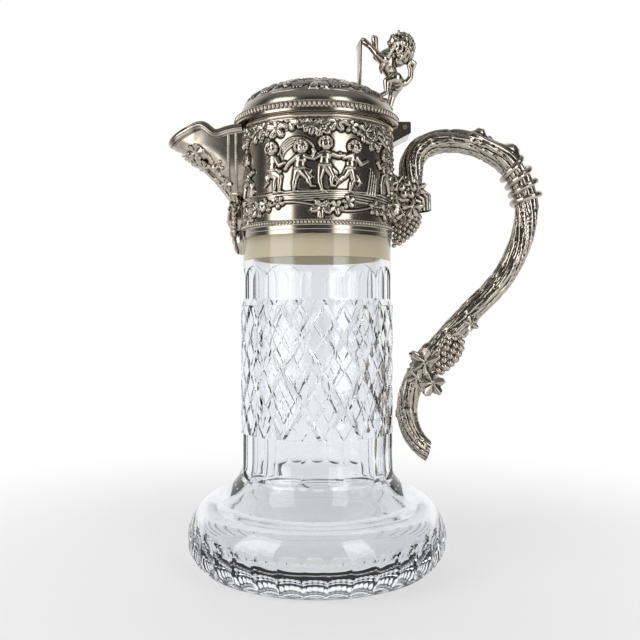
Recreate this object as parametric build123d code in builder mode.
from build123d import *
import os
from math import cos, radians, sin, sqrt, tan

# Claret jug: a cut crystal bottle with a silver plated collar, spout, hinged lid and vine handle.
# Millimetres, with the origin at the centre of the foot and +Z up the bottle.
# The spout points to -X, and the handle and hinge are at +X.

# Clearances
solder_gap = 0.05  # between curved faces of soldered pieces
bedding_gap = 0.3  # metal over the glass shoulder
cement_gap = 0.1  # plaster to its neighbours
lid_gap = 0.3  # lid rim over the collar's mouth
bezel_gap = 0.8  # bezel inside the collar, wide enough to swing out
pin_clearance = 0.05  # radial, between pin and turning knuckle
knuckle_gap = 0.3  # between neighbouring knuckles, along the pin
swing_gap = 0.4  # lid round the fixed half of the hinge

# Glass bottle
belly_radius = 69.7
foot_inset = 16.7  # foot edge inside the belly
belly_height = 17.0
shoulder_reach = 23.7  # half width of the shoulder's ellipse
shoulder_rise = 24.0
shoulder_turn = 63  # degrees of that ellipse before it flares into the neck
neck_radius = 41.1
neck_foot = 54.0
neck_wall = 6.5
belly_wall = 8.0
floor_thickness = 12.0
cavity_belly_height = 22.0
cavity_neck_foot = 60.0
lattice_foot = 73.0
lattice_height = 67.5
neck_inset = 1.1  # step in above the lattice
neck_step = 2.5  # height of that step
panel_count = 12
glass_turn = 4.1  # degrees that the cut glass is turned in its mount
panel_rise = 3.5  # neck panels over the lattice
panel_height = 17.0
panel_arch = 7.0  # rise of the arch at their head
low_panel_foot = 46.5
flute_count = 36
flute_depth = 1.1
flute_low_turn = 60  # degrees that a flute runs down the belly's curve from its widest
flute_high_turn = 42  # and up
glass_overlap = 14.0  # glass inside the collar

# Plaster and sleeve
cement_thickness = 0.8
cement_show = 11.0  # plaster below the collar
cement_head = 1.2  # plaster over the glass rim
sleeve_wall = 0.9
sleeve_flange = 1.0

# Collar
collar_foot = 176.0
collar_height = 59.8
collar_wall = 1.1
collar_overhang = 0.5  # collar outside the glass neck
bead_wire_rise = 5.6
bead_wire_radius = 1.5
mouth_wire_radius = 1.1

# Spout: reach from the collar wall, and height over the collar's foot or below its mouth
spout_length = 38.5
spout_half_width = 15.0
spout_wall = 1.2
spout_spring = 0.55  # share of a section's height where its sides turn straight
spout_keel = [(-5.0, 21.5), (0.0, 21.5), (5.5, 23.0), (13.0, 32.5), (21.0, 40.0), (28.0, 45.0), (34, 48.0)]
spout_nose = (37.6, 50.2)
spout_lip = [(-5.0, 1.8), (0.0, 1.8), (7.0, 3.2), (13.5, 4.6), (20.5, 0.2), (29.0, 2.8), (38.5, 7.2)]
lip_wire_radius = 1.9
lip_wire_seat = 2.3  # from the middle of the wire down to the edge of the spout
lip_wire_stations = 9  # down each side
spout_window_margin = 3.0  # collar left over the opening into the spout
keel_leaves = [(0.25, 11.0), (0.5, 10.0), (0.72, 8.0)]  # share of the keel, length

# Mask on the collar: heights over the collar's foot
mask_rise = 12.5
mask_width = 15.0
mask_height = 19.0
mask_seat = 0.06  # share of its width that its middle stands off the collar
beard_drop = 1.0
beard_width = 11.5
beard_height = 21.0

# Lid
rim_overhang = 3.9  # beyond the collar
rim_thickness = 1.2
dome_overhang = 1.3
dome_spring_rise = 5.2  # over the collar's mouth
dome_rise = 19.2
dome_wall = 1.1
bead_rim_radius = 1.9
bezel_depth = 6.5
bezel_wall = 1.0

# Hinge
pin_offset = 6.4  # beyond the collar
pin_rise = 0.1  # over the collar's mouth
pin_radius = 1.2
knuckle_wall = 1.7
knuckle_half_width = 3.9
bracket_half_width = 9.0
bracket_reach = 3.2  # beyond the pin
bracket_rise = 2.8  # over the pin
bracket_drop = 3.2  # under the pin
bracket_foot_drop = 9.0  # under the pin, at the collar
bracket_corner = 0.8
pin_overhang = 0.4

# Thumbpiece
plinth_half_width = 6.5
plinth_length = 13.5
plinth_slope = 7.0  # rise from the hinge to the middle of the lid
plinth_rise = 11.1  # over the pin, at the hinge
plinth_back = 2.4  # short of the pin
plinth_corner = 1.5
shield_height = 24.0
shield_half_width = 9.5
shield_thickness = 1.9
shield_reach = 25.7  # from the pin to the shield's foot
shield_rise = 22.2  # over the pin
shield_lean = 4  # degrees, towards the lion

# Handle: the middle of the branch, out from the neck and up or down from the pin
branch_route = [
    (9.5, -28.9),
    (10.7, -17.5),
    (15.0, -10.4),
    (22.7, -6.6),
    (33.0, -5.5),
    (42.3, -6.6),
    (50.5, -9.9),
    (58.6, -14.7),
    (65.2, -20.9),
    (70.1, -28.6),
    (72.8, -37.6),
    (72.8, -47.4),
    (70.1, -59.4),
    (65.2, -71.4),
    (58.6, -81.8),
    (51.0, -90.3),
    (42.3, -98.7),
    (34.1, -107.5),
    (25.9, -116.7),
    (17.8, -126.3),
    (11.8, -136.3),
    (8.4, -146.6),
    (8.2, -154.8),
    (10.1, -163.0),
    (14.3, -170.1),
    (19.4, -174.4),
    (24.5, -177.6),
]
branch_radius = 6.2
branch_root_radius = 6.8
branch_tail_radius = 4.7
branch_stations = 26
root_drop = 37.5  # under the pin
root_radius = 6.6
root_length = 16.5
stub_radius = 5.2
stub_reach = 19.5  # from the collar
stub_drop = 7.5  # of its cut end under the middle of the root
stub_lean = 14  # degrees that its cut face looks outwards from straight down
root_fork = (8.5, -35.5)  # where the stub leaves the root, out from the neck and up from the pin
# Knots: share of the branch, offset from its middle, radius
branch_knots = [(0.2, 3.5, 4.6), (0.23, 3.5, 4.2), (0.26, 3.2, 4.6), (0.62, -2.0, 6.4)]
tendril_start = 0.295  # share of the branch where the tendril's coil starts
tendril_end = 0.375
tendril_wire_radius = 1.3
tendril_gap = 0.35  # between the branch and the wire
tendril_turns = 4
tendril_steps = 8  # points of the coil in each turn
tail_cut = 16  # degrees that the branch's cut end leans from upright
grape_radius = 2.1
grape_bedding = 0.35  # share of a grape that is sunk in its bunch
# Rings of berries down each bunch: radius of each ring, and berries in it
bunch_rings = (4.2, 5.6, 6.4, 6.2, 4.6, 2.0)
bunch_counts = (5, 7, 9, 8, 6, 3)
root_bunch_rings = (5.0, 4.2, 2.6, 0.8)
root_bunch_counts = (7, 6, 3, 1)
leaf_thickness = 1.2
leaf_size = 9.0
leaf_lobes = 5

quarter_pull = 0.5523  # how far a curve's handles reach to draw a quarter of an ellipse

# Places that follow from the sizes
neck_top_radius = neck_radius - neck_inset
collar_radius = neck_top_radius + collar_overhang
collar_bore = collar_radius - collar_wall
collar_top = collar_foot + collar_height
glass_bore = neck_radius - neck_wall
glass_rim_radius = collar_bore - cement_gap - bedding_gap * 2
glass_top = collar_foot + glass_overlap
lattice_top = lattice_foot + lattice_height
sleeve_radius = glass_bore - cement_thickness
cement_top = glass_top + cement_head
lid_foot = collar_top + lid_gap
dome_radius = collar_radius + dome_overhang
dome_spring = collar_top + dome_spring_rise
bezel_radius = collar_bore - bezel_gap
pin_x = collar_radius + pin_offset
pin_z = collar_top + pin_rise
knuckle_radius = pin_radius + pin_clearance + knuckle_wall

os.makedirs("parts", exist_ok=True)


def limb(start, end, start_radius, end_radius):
    """A round tapering limb with round ends."""
    line = Vector(*end) - Vector(*start)
    with BuildPart() as body:
        with BuildSketch(Plane(origin=start, z_dir=line)):
            Circle(start_radius)
        with BuildSketch(Plane(origin=end, z_dir=line)):
            Circle(end_radius)
        loft(ruled=True)
        with Locations(start):
            Sphere(start_radius)
        with Locations(end):
            Sphere(end_radius)
    return body.part


def egg(centre, width, length, direction=(0, 0, 1)):
    """Half an ellipse turned about its long axis."""
    upright = Plane(origin=centre, z_dir=direction)
    with BuildPart() as body:
        with BuildSketch(Plane(origin=centre, x_dir=upright.x_dir, z_dir=-upright.y_dir)):
            with BuildLine():
                EllipticalCenterArc((0, 0), width / 2, length / 2, start_angle=-90, arc_size=180)
                Line((0, length / 2), (0, -length / 2))
            make_face()
        revolve(axis=Axis(centre, direction))
    return body.part


def wire_ring(inner_radius, wire_radius, height):
    """Half-round wire that is soldered round a tube."""
    with BuildPart() as ring:
        with BuildSketch(Plane.XZ):
            with Locations((inner_radius, height)):
                Circle(wire_radius)
                Rectangle(
                    2 * wire_radius,
                    2 * wire_radius,
                    align=(Align.MAX, Align.CENTER),
                    mode=Mode.SUBTRACT,
                )
        revolve(axis=Axis.Z)
    return ring.part


def upright_cylinder(radius, top=collar_top * 2):
    """A cylinder round the jug's axis, to trim what is soldered on."""
    with BuildPart() as body:
        Cylinder(radius, top, align=(Align.CENTER, Align.CENTER, Align.MIN))
    return body.part


def panel_reach(radius):
    """Distance from the axis to a flat panel whose ridges lie on that radius."""
    return radius * cos(radians(180 / panel_count))


# Glass body: cutters for the flat panels and the round flutes
with BuildPart() as neck_panel_cutter:
    reach = panel_reach(neck_top_radius)
    width = reach * tan(radians(180 / panel_count))
    foot = lattice_top + panel_rise
    head = foot + panel_height
    with BuildSketch(Plane(origin=(reach, 0, 0), x_dir=(0, 1, 0), z_dir=(1, 0, 0))):
        with BuildLine():
            Polyline((-width, head - panel_arch), (-width, foot), (width, foot), (width, head - panel_arch))
            ThreePointArc((width, head - panel_arch), (0, head), (-width, head - panel_arch))
        make_face()
    extrude(amount=neck_radius)

with BuildPart() as low_panel_cutter:
    reach = panel_reach(neck_radius)
    with BuildSketch(Plane.XZ):
        with BuildLine():
            bend = (reach, neck_foot + neck_radius - reach)
            outside = (belly_radius, low_panel_foot - foot_inset * 0.2)
            Bezier(bend, (reach, (neck_foot + low_panel_foot) / 2), (neck_radius, low_panel_foot), outside)
            Polyline(outside, (belly_radius, lattice_foot), (reach, lattice_foot), bend)
        make_face()
    extrude(amount=reach * tan(radians(180 / panel_count)), both=True)

flute_half_width = belly_radius * sin(radians(180 / flute_count))
flute_radius = (flute_half_width**2 + flute_depth**2) / (2 * flute_depth)
with BuildPart() as flute_cutter:
    for bend, start, turn in (
        (foot_inset, -flute_low_turn, flute_low_turn),
        (shoulder_reach, 0, flute_high_turn),
    ):
        start_x = cos(radians(start))
        start_z = sin(radians(start))
        bend_x = belly_radius - bend
        reach = bend + flute_radius - flute_depth
        groove = Plane(
            origin=(bend_x + reach * start_x, 0, belly_height + reach * start_z),
            x_dir=(start_x, 0, start_z),
            z_dir=(-start_z, 0, start_x),
        )
        with BuildSketch(groove):
            Circle(flute_radius)
        revolve(axis=Axis((bend_x, 0, belly_height), (0, -1, 0)), revolution_arc=turn)
    end_x = bend_x + reach * cos(radians(flute_high_turn))
    end_z = belly_height + reach * sin(radians(flute_high_turn))
    with Locations((end_x, 0, end_z)):
        Sphere(flute_radius)

with BuildPart() as glass_body:
    with BuildSketch(Plane.XZ):
        with BuildLine():
            Line((0, 0), (belly_radius - foot_inset, 0))
            EllipticalCenterArc(
                (belly_radius - foot_inset, belly_height),
                foot_inset,
                belly_height,
                start_angle=-90,
                arc_size=90,
            )
            belly = EllipticalCenterArc(
                (belly_radius - shoulder_reach, belly_height),
                shoulder_reach,
                shoulder_rise,
                start_angle=0,
                arc_size=shoulder_turn,
            )
            shoulder_pull = (neck_foot - (belly @ 1).Y) / 2
            Bezier(
                belly @ 1,
                belly @ 1 + (belly % 1) * shoulder_pull,
                (neck_radius, neck_foot - shoulder_pull),
                (neck_radius, neck_foot),
            )
            Polyline(
                (neck_radius, neck_foot),
                (neck_radius, lattice_top),
                (neck_top_radius, lattice_top + neck_step),
                (neck_top_radius, collar_foot - bedding_gap),
                (glass_rim_radius, collar_foot - bedding_gap),
                (glass_rim_radius, glass_top),
                (glass_bore, glass_top),
                (glass_bore, cavity_neck_foot),
            )
            cavity_belly = EllipticalCenterArc(
                (belly_radius - shoulder_reach, cavity_belly_height),
                shoulder_reach - belly_wall,
                shoulder_rise + belly_height - cavity_belly_height - belly_wall,
                start_angle=0,
                arc_size=shoulder_turn,
            )
            cavity_pull = (cavity_neck_foot - (cavity_belly @ 1).Y) * 0.4
            Bezier(
                cavity_belly @ 1,
                cavity_belly @ 1 + (cavity_belly % 1) * cavity_pull,
                (glass_bore, cavity_neck_foot - cavity_pull),
                (glass_bore, cavity_neck_foot),
            )
            cavity_foot = EllipticalCenterArc(
                (belly_radius - shoulder_reach, cavity_belly_height),
                shoulder_reach - belly_wall,
                cavity_belly_height - floor_thickness,
                start_angle=-90,
                arc_size=90,
            )
            Polyline(cavity_foot @ 0, (0, floor_thickness), (0, 0))
        make_face()
    revolve(axis=Axis.Z)
    with PolarLocations(0, panel_count, start_angle=glass_turn):
        add(neck_panel_cutter.part, mode=Mode.SUBTRACT)
        add(low_panel_cutter.part, mode=Mode.SUBTRACT)
    with PolarLocations(0, flute_count, start_angle=glass_turn + 180 / flute_count):
        add(flute_cutter.part, mode=Mode.SUBTRACT)
glass_body.part.label = "glass_body"
export_step(glass_body.part, "parts/glass_body.step")

# Plaster that beds the glass: inside the neck, over its rim and down inside the collar
with BuildPart() as neck_cement:
    with BuildSketch(Plane.XZ):
        with BuildLine():
            Polyline(
                (sleeve_radius + cement_gap, collar_foot - cement_show),
                (glass_bore - cement_gap, collar_foot - cement_show),
                (glass_bore - cement_gap, glass_top + cement_gap),
                (glass_rim_radius + cement_gap, glass_top + cement_gap),
                (glass_rim_radius + cement_gap, collar_foot),
                (collar_bore - cement_gap, collar_foot),
                (collar_bore - cement_gap, cement_top),
                (sleeve_radius + cement_gap, cement_top),
                close=True,
            )
        make_face()
    revolve(axis=Axis.Z)
neck_cement.part.label = "neck_cement"
export_step(neck_cement.part, "parts/neck_cement.step")

# Sleeve with the flange that closes the plaster
with BuildPart() as neck_sleeve:
    with BuildSketch(Plane.XZ):
        with BuildLine():
            Polyline(
                (sleeve_radius - sleeve_wall, collar_foot - cement_show),
                (sleeve_radius, collar_foot - cement_show),
                (sleeve_radius, cement_top + cement_gap),
                (collar_bore - solder_gap, cement_top + cement_gap),
                (collar_bore - solder_gap, cement_top + cement_gap + sleeve_flange),
                (sleeve_radius - sleeve_wall, cement_top + cement_gap + sleeve_flange),
                close=True,
            )
        make_face()
    revolve(axis=Axis.Z)
neck_sleeve.part.label = "neck_sleeve"
export_step(neck_sleeve.part, "parts/neck_sleeve.step")


# Spout
def spout_width(reach, wall=0.0):
    """Half width of the spout at a reach from the collar wall, less a wall."""
    share = min(max(reach, 0) / spout_length, 1.0)
    return spout_half_width * sqrt(1 - share**2.2) - wall


def spout_section(reach, keel_rise, wall):
    """A trough section: half an ellipse below, straight sides above."""
    half_width = spout_width(reach, wall)
    keel = collar_foot + keel_rise
    spring = keel + (collar_top - keel) * spout_spring
    top = collar_top + spout_half_width
    plane = Plane(origin=(-collar_radius - reach, 0, 0), x_dir=(0, 1, 0), z_dir=(1, 0, 0))
    with BuildSketch(plane) as section:
        with BuildLine():
            EllipticalCenterArc(
                (0, spring), half_width, spring - keel - wall, start_angle=180, arc_size=180
            )
            Polyline((half_width, spring), (half_width, top), (-half_width, top), (-half_width, spring))
        make_face()
    return section.sketch


with BuildPart() as spout_core:
    for reach, keel_rise in reversed(spout_keel):
        add(spout_section(reach, keel_rise, spout_wall))
    loft()

with BuildPart() as spout_form:
    add(spout_section(*spout_nose, 0))
    for reach, keel_rise in reversed(spout_keel):
        add(spout_section(reach, keel_rise, 0))
    loft()

with BuildLine(Plane.XZ) as keel_path:
    Spline(*[(-collar_radius - reach, collar_foot + rise) for reach, rise in spout_keel])
with BuildLine(Plane.XZ) as lip_path:
    Spline(*[(-collar_radius - reach, collar_top - drop) for reach, drop in spout_lip])

with BuildPart() as spout_shell:
    add(spout_form.part)
    add(spout_core.part, mode=Mode.SUBTRACT)
    with BuildSketch(Plane.XZ):
        with BuildLine():
            edge_top = collar_top - lip_wire_seat
            edge = Spline(*[(-collar_radius - reach, edge_top - drop) for reach, drop in spout_lip])
            far = -collar_radius - spout_length * 2
            high = collar_top + spout_length
            Polyline(edge @ 1, (far, (edge @ 1).Y), (far, high), ((edge @ 0).X, high), edge @ 0)
        make_face()
    extrude(amount=spout_half_width * 2, both=True, mode=Mode.SUBTRACT)
    add(upright_cylinder(collar_radius + solder_gap), mode=Mode.SUBTRACT)
spout_shell.part.label = "spout_shell"
export_step(spout_shell.part, "parts/spout_shell.step")

# Moulded wire round the spout's lip, from the collar to the nose, and its mirror image
lip_side = [lip_path.line @ (station / lip_wire_stations) for station in range(lip_wire_stations)]
lip_near = [(point.X, -spout_width(-collar_radius - point.X), point.Z) for point in lip_side]
with BuildPart() as spout_lip_wire:
    with BuildLine() as lip_round:
        Spline(*lip_near, lip_path.line @ 1, tangents=((-1, 0, 0), (0, 1, 0)))
    with BuildSketch(Plane(origin=lip_round.line @ 0, z_dir=lip_round.line % 0)):
        Circle(lip_wire_radius)
    sweep()
    mirror(about=Plane.XZ)
    add(upright_cylinder(collar_radius + solder_gap), mode=Mode.SUBTRACT)
spout_lip_wire.part.label = "spout_lip_wire"
export_step(spout_lip_wire.part, "parts/spout_lip_wire.step")

# Cast leaves along the keel
with BuildPart() as spout_keel_ornament:
    for share, length in keel_leaves:
        add(egg(keel_path.line @ share, length * 0.7, length * 1.6, keel_path.line % share))
    add(spout_form.part, mode=Mode.SUBTRACT)
    add(upright_cylinder(collar_radius + solder_gap), mode=Mode.SUBTRACT)
spout_keel_ornament.part.label = "spout_keel_ornament"
export_step(spout_keel_ornament.part, "parts/spout_keel_ornament.step")

# Collar tube with its opening into the spout
with BuildPart() as collar_shell:
    with BuildSketch(Plane.XZ):
        with Locations((collar_bore, collar_foot)):
            Rectangle(collar_wall, collar_height, align=(Align.MIN, Align.MIN))
    revolve(axis=Axis.Z)
    with BuildSketch(Plane(origin=(-collar_radius, 0, 0), x_dir=(0, 1, 0), z_dir=(1, 0, 0))):
        add(spout_section(*spout_keel[0], spout_wall).moved(Location((spout_keel[0][0], 0, 0))))
        with Locations((0, collar_top - spout_window_margin)):
            Rectangle(
                spout_half_width * 2,
                spout_half_width * 2,
                align=(Align.CENTER, Align.MIN),
                mode=Mode.SUBTRACT,
            )
    extrude(amount=spout_half_width, mode=Mode.SUBTRACT)
collar_shell.part.label = "collar_shell"
export_step(collar_shell.part, "parts/collar_shell.step")

with BuildPart() as collar_bead_wire:
    add(wire_ring(collar_radius + solder_gap, bead_wire_radius, collar_foot + bead_wire_rise))
collar_bead_wire.part.label = "collar_bead_wire"
export_step(collar_bead_wire.part, "parts/collar_bead_wire.step")

# Bearded mask below the spout
mask_x = -collar_radius - mask_width * mask_seat
mask_front = mask_x - mask_width / 2


def mask_point(back, aside, up):
    """A point of the mask, from the front of its face."""
    return (mask_front + back, mask_width * aside, collar_foot + mask_rise + up)


with BuildPart() as spout_mask:
    add(egg((mask_x, 0, collar_foot + mask_rise), mask_width, mask_height))
    add(egg((mask_x, 0, collar_foot - beard_drop), beard_width, beard_height))
    # Brow, cheek, moustache and crown of locks on each side, then the nose and forehead leaf
    for side in (-1, 1):
        add(egg(mask_point(1.8, side * 0.2, 1.2), 3.6, 5.0, (0, 1, 0)))
        add(egg(mask_point(2.2, side * 0.24, -3.2), 4.4, 4.4))
        add(egg(mask_point(1.6, side * 0.14, -6.6), 2.8, 6.5, (0, 1, side * 0.4)))
        add(egg(mask_point(8.5, side * 0.45, 5.5), 7.0, 11.0, (0, side, 1)))
    add(egg(mask_point(0.6, 0, -2.2), 2.8, 5.6))
    add(egg(mask_point(2.4, 0, 6.4), 6.0, 7.0))
    add(spout_form.part, mode=Mode.SUBTRACT)
    add(spout_keel_ornament.part, mode=Mode.SUBTRACT)
    add(collar_bead_wire.part, mode=Mode.SUBTRACT)
    add(upright_cylinder(collar_radius + solder_gap), mode=Mode.SUBTRACT)
spout_mask.part.label = "spout_mask"
export_step(spout_mask.part, "parts/spout_mask.step")

# Hinge: a bracket on the collar with two knuckles, and the pin through it
with BuildPart() as hinge_bracket:
    with BuildSketch(Plane.XZ):
        with BuildLine():
            Polyline(
                (collar_bore, pin_z - bracket_foot_drop),
                (pin_x + bracket_reach, pin_z - bracket_drop),
                (pin_x + bracket_reach, pin_z + bracket_rise),
                (dome_radius + swing_gap, pin_z + bracket_rise),
                (dome_radius + swing_gap, collar_top - lid_gap),
                (collar_bore, collar_top - lid_gap),
                close=True,
            )
        make_face()
    extrude(amount=bracket_half_width, both=True)
    outer_edges = edges().filter_by(Axis.Y).group_by(Axis.X)[-1]
    fillet(outer_edges, radius=bracket_corner)
    with BuildSketch(Plane.XZ):
        slot_height = bracket_rise + knuckle_radius + swing_gap
        with Locations((pin_x - knuckle_radius - swing_gap, pin_z + bracket_rise)):
            Rectangle(bracket_reach + knuckle_radius * 2, slot_height, align=(Align.MIN, Align.MAX))
        with Locations((collar_bore, pin_z - knuckle_radius)):
            Rectangle(pin_x - collar_bore, slot_height, align=(Align.MIN, Align.MIN))
    extrude(amount=knuckle_half_width + knuckle_gap, both=True, mode=Mode.SUBTRACT)
    with Locations(Plane(origin=(pin_x, 0, pin_z), z_dir=(0, 1, 0))):
        Cylinder(pin_radius, bracket_half_width * 3, mode=Mode.SUBTRACT)
    add(upright_cylinder(collar_radius + solder_gap), mode=Mode.SUBTRACT)
hinge_bracket.part.label = "hinge_bracket"
export_step(hinge_bracket.part, "parts/hinge_bracket.step")

with BuildPart() as hinge_pin:
    with Locations(Plane(origin=(pin_x, 0, pin_z), z_dir=(0, 1, 0))):
        Cylinder(pin_radius, (bracket_half_width + pin_overhang) * 2)
hinge_pin.part.label = "hinge_pin"
export_step(hinge_pin.part, "parts/hinge_pin.step")

# Wire that stiffens the collar's mouth, cut where the bracket and spout meet it
with BuildPart() as collar_mouth_wire:
    add(wire_ring(collar_radius + solder_gap, mouth_wire_radius, collar_top - mouth_wire_radius - lid_gap))
    with Locations((collar_radius, 0, collar_top)):
        Box(collar_radius, bracket_half_width * 2, collar_height, mode=Mode.SUBTRACT)
    with Locations((-collar_radius, 0, collar_top)):
        Box(spout_half_width, (spout_half_width + lip_wire_radius) * 2, collar_height, mode=Mode.SUBTRACT)
collar_mouth_wire.part.label = "collar_mouth_wire"
export_step(collar_mouth_wire.part, "parts/collar_mouth_wire.step")


def dome_curve(radius, rise):
    """Control points of a quarter of an ellipse, from the dome's spring to its top."""
    return [
        (radius, dome_spring),
        (radius, dome_spring + rise * quarter_pull),
        (radius * quarter_pull, dome_spring + rise),
        (0, dome_spring + rise),
    ]


# Lid: dome with its flange, beaded rim, bezel and the turning half of the hinge
with BuildPart() as lid_form:
    with BuildSketch(Plane.XZ):
        with BuildLine():
            Line((0, lid_foot), (dome_radius, lid_foot))
            Line((dome_radius, lid_foot), (dome_radius, dome_spring))
            Bezier(*dome_curve(dome_radius, dome_rise))
            Line((0, dome_spring + dome_rise), (0, lid_foot))
        make_face()
    revolve(axis=Axis.Z)

with BuildPart() as hinge_notch:
    with Locations((dome_radius, 0, lid_foot)):
        Box(
            dome_radius,
            (bracket_half_width + swing_gap) * 2,
            (rim_thickness + bead_rim_radius * 2) * 3,
        )
    add(upright_cylinder(dome_radius - solder_gap), mode=Mode.SUBTRACT)

with BuildPart() as flange_notch:
    with Locations((dome_radius, 0, lid_foot)):
        Box(dome_radius, (bracket_half_width + swing_gap) * 2, rim_thickness * 3)
    add(upright_cylinder(dome_radius - solder_gap), mode=Mode.SUBTRACT)

with BuildPart() as lid_dome:
    with BuildSketch(Plane.XZ):
        with BuildLine():
            inner_radius = dome_radius - dome_wall
            rim_radius = collar_radius + rim_overhang
            Polyline(
                (inner_radius, dome_spring),
                (inner_radius, lid_foot),
                (rim_radius, lid_foot),
                (rim_radius, lid_foot + rim_thickness),
                (dome_radius, lid_foot + rim_thickness),
                (dome_radius, dome_spring),
            )
            Bezier(*dome_curve(dome_radius, dome_rise))
            Bezier(*dome_curve(inner_radius, dome_rise - dome_wall))
            Line((0, dome_spring + dome_rise), (0, dome_spring + dome_rise - dome_wall))
        make_face()
    revolve(axis=Axis.Z)
    add(flange_notch.part, mode=Mode.SUBTRACT)
lid_dome.part.label = "lid_dome"
export_step(lid_dome.part, "parts/lid_dome.step")

with BuildPart() as lid_bead_rim:
    with BuildSketch(Plane.XZ):
        with Locations(
            (
                dome_radius + bead_rim_radius + solder_gap,
                lid_foot + rim_thickness + bead_rim_radius + solder_gap,
            )
        ):
            Circle(bead_rim_radius)
    revolve(axis=Axis.Z)
    add(hinge_notch.part, mode=Mode.SUBTRACT)
lid_bead_rim.part.label = "lid_bead_rim"
export_step(lid_bead_rim.part, "parts/lid_bead_rim.step")

with BuildPart() as lid_bezel:
    with BuildSketch(Plane.XZ):
        with BuildLine():
            Polyline(
                (bezel_radius - bezel_wall, lid_foot + rim_thickness),
                (bezel_radius - bezel_wall, collar_top - bezel_depth),
                (bezel_radius, collar_top - bezel_depth),
                (bezel_radius, lid_foot),
                (dome_radius - dome_wall - solder_gap, lid_foot),
                (dome_radius - dome_wall - solder_gap, lid_foot + rim_thickness),
                close=True,
            )
        make_face()
    revolve(axis=Axis.Z)
lid_bezel.part.label = "lid_bezel"
export_step(lid_bezel.part, "parts/lid_bezel.step")

with BuildPart() as lid_hinge_leaf:
    with BuildSketch(Plane.XZ):
        with Locations((pin_x, pin_z)):
            Circle(knuckle_radius)
            Rectangle(pin_offset, knuckle_radius, align=(Align.MAX, Align.MIN))
            Circle(pin_radius + pin_clearance, mode=Mode.SUBTRACT)
    extrude(amount=knuckle_half_width, both=True)
    add(upright_cylinder(dome_radius + solder_gap), mode=Mode.SUBTRACT)
lid_hinge_leaf.part.label = "lid_hinge_leaf"
export_step(lid_hinge_leaf.part, "parts/lid_hinge_leaf.step")

# Thumbpiece: a plinth, a rampant lion and the shield that it holds
plinth_x = pin_x - plinth_back
plinth_z = pin_z + plinth_rise
leaf_top = pin_z + knuckle_radius + solder_gap
with BuildPart() as thumbpiece_plinth:
    with BuildSketch(Plane.XZ):
        with BuildLine():
            Polyline(
                (plinth_x - plinth_length, leaf_top),
                (plinth_x, leaf_top),
                (plinth_x, plinth_z),
                (plinth_x - plinth_length, plinth_z + plinth_slope),
                close=True,
            )
        make_face()
    extrude(amount=plinth_half_width, both=True)
    fillet(edges().filter_by(Axis.Z), radius=plinth_corner)
    add(lid_form.part, mode=Mode.SUBTRACT)
thumbpiece_plinth.part.label = "thumbpiece_plinth"
export_step(thumbpiece_plinth.part, "parts/thumbpiece_plinth.step")

with BuildPart() as lion_shield:
    face = Plane(origin=(pin_x - shield_reach, 0, pin_z + shield_rise), x_dir=(0, 1, 0), z_dir=(1, 0, 0))
    with BuildSketch(face.rotated((0, shield_lean, 0))):
        with BuildLine():
            shoulder = shield_height * 0.55
            Polyline(
                (-shield_half_width, shoulder),
                (-shield_half_width, shield_height),
                (shield_half_width, shield_height),
                (shield_half_width, shoulder),
            )
            Bezier(
                (shield_half_width, shoulder),
                (shield_half_width, shoulder * 0.4),
                (shield_half_width * 0.4, shoulder * 0.1),
                (0, 0),
            )
            Bezier(
                (0, 0),
                (-shield_half_width * 0.4, shoulder * 0.1),
                (-shield_half_width, shoulder * 0.4),
                (-shield_half_width, shoulder),
            )
        make_face()
    extrude(amount=shield_thickness)
    add(lid_form.part, mode=Mode.SUBTRACT)
lion_shield.part.label = "lion_shield"
export_step(lion_shield.part, "parts/lion_shield.step")


def lion_point(x, y, z):
    """A point of the lion, from the plinth's corner over the hinge."""
    return (plinth_x + x, y, plinth_z + z)


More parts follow.
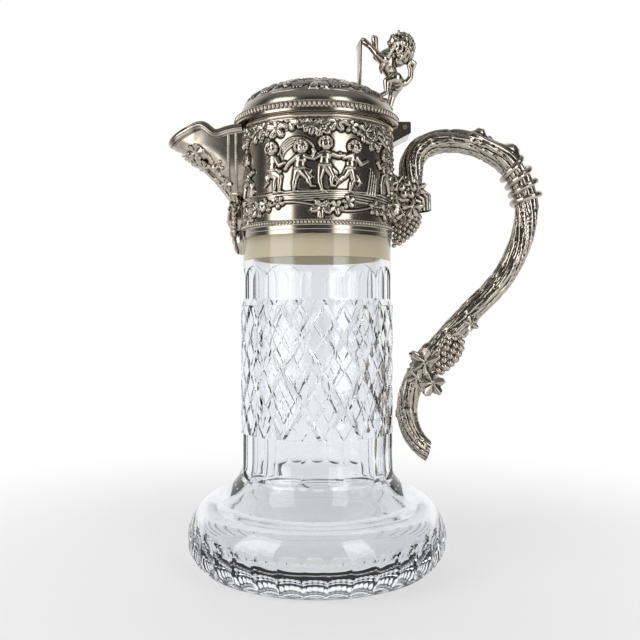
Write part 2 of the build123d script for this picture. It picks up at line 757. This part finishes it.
with BuildPart() as lion_figure:
    # Body, mane, muzzle and jaw
    hips = lion_point(-1.2, 0, 15.4)
    waist = lion_point(-3.9, 0, 19.6)
    chest = lion_point(-6.1, 0, 24.6)
    breast = lion_point(-6.3, 0, 30.2)
    mane = lion_point(2.3, 0, 36.2)
    add(limb(hips, waist, 4.5, 3.5))
    add(limb(waist, chest, 3.5, 4.7))
    add(limb(chest, breast, 4.7, 5.4))
    add(limb(breast, mane, 5.4, 6.8))
    add(limb(mane, lion_point(0.8, 0, 28.6), 6.8, 4.4))
    add(limb(lion_point(0, 0, 37.2), lion_point(-4.6, 0, 36.4), 3.4, 2.1))
    add(limb(lion_point(-1.6, 0, 33.4), lion_point(-4.4, 0, 33.8), 2.0, 1.3))
    for side in (-1, 1):
        add(egg(lion_point(1.5, side * 4.2, 41.0), 2.6, 3.6))
    # Fore legs: one raised, the other holding the shield's top edge
    for shoulder, elbow, wrist, paw in (
        ((-8.5, 3.0, 28.5), (-11.9, 4.0, 30.5), (-12.6, 4.0, 35.0), (-12.7, 3.8, 40.2)),
        ((-8.5, -3.0, 26.0), (-12.1, -4.0, 28.4), (-16.3, -2.4, 33.4), (-18.9, -1.2, 36.9)),
    ):
        add(limb(lion_point(*shoulder), lion_point(*elbow), 3.0, 2.0))
        add(limb(lion_point(*elbow), lion_point(*wrist), 2.0, 1.5))
        add(limb(lion_point(*wrist), lion_point(*paw), 1.5, 2.0))
    # Hind legs: one striding on the mound, the other straight down to the hinge
    for hip, knee, hock, foot in (
        ((-1.9, -3.0, 16.2), (-6.9, -3.8, 14.9), (-7.1, -4.0, 8.9), (-11.2, -4.2, 7.0)),
        ((-1.3, 3.0, 14.2), (-3.3, 3.8, 8.8), (-4.6, 4.0, 3.9), (-7.6, 4.2, 5.3)),
    ):
        add(limb(lion_point(*hip), lion_point(*knee), 4.0, 2.2))
        add(limb(lion_point(*knee), lion_point(*hock), 2.2, 1.5))
        add(limb(lion_point(*hock), lion_point(*foot), 1.5, 1.7))
    tail = ((1.1, 0, 14.4), (4.4, 0, 15.2), (6.6, 0, 18.6), (6.6, 0, 23.6))
    for start, end in zip(tail, tail[1:]):
        add(limb(lion_point(*start), lion_point(*end), 1.5, 1.4))
    add(egg(lion_point(6.4, 0, 25.2), 5.0, 6.0))
    add(thumbpiece_plinth.part, mode=Mode.SUBTRACT)
    add(lid_form.part, mode=Mode.SUBTRACT)
    add(lion_shield.part, mode=Mode.SUBTRACT)
lion_figure.part.label = "lion_figure"
export_step(lion_figure.part, "parts/lion_figure.step")


# Handle
def branch_point(out, up):
    """A point in the handle's plane, out from the neck and up from the pin."""
    return (neck_radius + out, 0, pin_z + up)


with BuildLine() as branch_path:
    Spline(*[branch_point(out, up) for out, up in branch_route])


def branch_size(share):
    """Radius of the branch: thick at the root, even, then thinner at the tail."""
    if share < 0.5:
        return branch_root_radius + (branch_radius - branch_root_radius) * share * 2
    return branch_radius + (branch_tail_radius - branch_radius) * (share * 2 - 1) ** 2


with BuildPart() as branch_form:
    for station in range(branch_stations + 1):
        share = station / branch_stations
        ring = Plane(
            origin=branch_path.line @ share, x_dir=(0, 1, 0), z_dir=branch_path.line % share
        )
        with BuildSketch(ring):
            Circle(branch_size(share))
    loft()
    tail = branch_point(*branch_route[-2])
    with Locations(Plane(origin=tail, z_dir=(cos(radians(tail_cut)), 0, -sin(radians(tail_cut))))):
        Box(branch_radius * 4, branch_radius * 4, branch_radius * 2,
            align=(Align.CENTER, Align.CENTER, Align.MIN), mode=Mode.SUBTRACT)

with BuildPart() as handle_branch:
    add(branch_form.part)
    for share, offset, radius in branch_knots:
        middle = branch_path.line @ share
        outwards = (branch_path.line % share).cross(Vector(0, 1, 0)).normalized()
        with Locations(middle - outwards * offset):
            Sphere(radius)
handle_branch.part.label = "handle_branch"
export_step(handle_branch.part, "parts/handle_branch.step")


def vine_leaf(middle, facing, up, size):
    """A flat vine leaf: pointed lobes round its stem."""
    blade = Plane(origin=middle, x_dir=up, z_dir=facing)
    with BuildPart() as leaf:
        with BuildSketch(blade):
            Circle(size * 0.42)
            for lobe in range(leaf_lobes):
                turn = (lobe - (leaf_lobes - 1) / 2) * 360 / (leaf_lobes + 1)
                with Locations(Location((0, 0), turn)):
                    with Locations((size * 0.5, 0)):
                        Ellipse(size * 0.5, size * 0.24)
        extrude(amount=leaf_thickness)
    return leaf.part


root_z = pin_z - root_drop
stub_end = (collar_radius + stub_reach, 0, root_z - stub_drop)
with BuildPart() as handle_root_casting:
    add(limb((collar_radius, 0, root_z), branch_point(*root_fork), root_radius, root_radius))
    add(egg((collar_radius + 1, 0, root_z - root_radius), root_radius * 2.4, root_length))
    add(limb(branch_point(*root_fork), stub_end, root_radius, stub_radius))
    for side in (-1, 1):
        stand = side * (root_radius - leaf_thickness / 2)
        for out, up, way, share in ((8.5, 3.5, (-0.4, 0, 1), 0.8), (10, -4.5, (0.5, 0, -1), 0.7)):
            add(vine_leaf((collar_radius + out, stand, root_z + up), (0, side, 0), way, leaf_size * share))
    with Locations(Plane(origin=stub_end, z_dir=(sin(radians(stub_lean)), 0, -cos(radians(stub_lean))))):
        Cylinder(
            stub_radius * 2,
            stub_radius * 2,
            align=(Align.CENTER, Align.CENTER, Align.MIN),
            mode=Mode.SUBTRACT,
        )
    add(handle_branch.part, mode=Mode.SUBTRACT)
    add(upright_cylinder(collar_radius + solder_gap), mode=Mode.SUBTRACT)
handle_root_casting.part.label = "handle_root_casting"
export_step(handle_root_casting.part, "parts/handle_root_casting.step")


def tendril_point(turn):
    """A point of the coil that a tendril makes round the bent branch."""
    share = tendril_start + (tendril_end - tendril_start) * turn / tendril_turns
    outwards = (branch_path.line % share).cross(Vector(0, 1, 0)).normalized()
    radius = branch_size(share) + tendril_gap + tendril_wire_radius
    swing = radians(360 * turn)
    return branch_path.line @ share + (outwards * cos(swing) + Vector(0, 1, 0) * sin(swing)) * radius


with BuildPart() as handle_tendril:
    with BuildLine() as coil:
        Spline(*[tendril_point(step / tendril_steps) for step in range(tendril_turns * tendril_steps + 1)])
    with BuildSketch(Plane(origin=coil.line @ 0, z_dir=coil.line % 0)):
        Circle(tendril_wire_radius)
    sweep()
handle_tendril.part.label = "handle_tendril"
export_step(handle_tendril.part, "parts/handle_tendril.step")


def bunch(head, tail, rings, counts):
    """A bunch of grapes: rings of berries set in a core that follows their widths."""
    with BuildPart() as berries:
        along = Vector(*tail) - Vector(*head)
        sunk = grape_radius * grape_bedding
        for row, (ring, count) in enumerate(zip(rings, counts)):
            middle = Vector(*head) + along * (row / (len(counts) - 1))
            with Locations(Plane(origin=middle, z_dir=along)):
                with PolarLocations(ring, count, start_angle=row * 180 / count):
                    Sphere(grape_radius)
        widest = max(rings)
        middle = Vector(*head) + along / 2
        add(limb(head, middle, rings[0] + sunk, widest + sunk))
        add(limb(middle, tail, widest + sunk, rings[-1] + sunk))
    return berries.part


with BuildPart() as grapes_form:
    add(bunch(branch_point(33.5, -111), branch_point(23.5, -131), bunch_rings, bunch_counts))
    add(handle_branch.part, mode=Mode.SUBTRACT)

# The bunch without the slivers of berries that the branch leaves on its far side
with BuildPart() as handle_grapes:
    add(grapes_form.part.solids().sort_by(SortBy.VOLUME)[-1])
handle_grapes.part.label = "handle_grapes"
export_step(handle_grapes.part, "parts/handle_grapes.step")

with BuildPart() as handle_root_grapes:
    add(bunch(branch_point(9.5, -50.0), branch_point(4.0, -61.5), root_bunch_rings, root_bunch_counts))
    add(handle_root_casting.part, mode=Mode.SUBTRACT)
    add(handle_branch.part, mode=Mode.SUBTRACT)
    add(upright_cylinder(collar_radius + solder_gap), mode=Mode.SUBTRACT)
handle_root_grapes.part.label = "handle_root_grapes"
export_step(handle_root_grapes.part, "parts/handle_root_grapes.step")

# Vine leaves on both sides of the bunch: how far out, up, and the way they point
with BuildPart() as handle_vine_leaves:
    for side in (-1, 1):
        for out, up, way in ((16.0, -124.5, (-1.0, 0, -0.4)), (20.5, -136.5, (-0.2, 0, -1.0))):
            x, y, z = branch_point(out, up)
            stand = side * (branch_radius - leaf_thickness / 2)
            add(vine_leaf((x, stand, z), (0, side, 0), way, leaf_size))
    add(handle_branch.part, mode=Mode.SUBTRACT)
    add(handle_grapes.part, mode=Mode.SUBTRACT)
handle_vine_leaves.part.label = "handle_vine_leaves"
export_step(handle_vine_leaves.part, "parts/handle_vine_leaves.step")
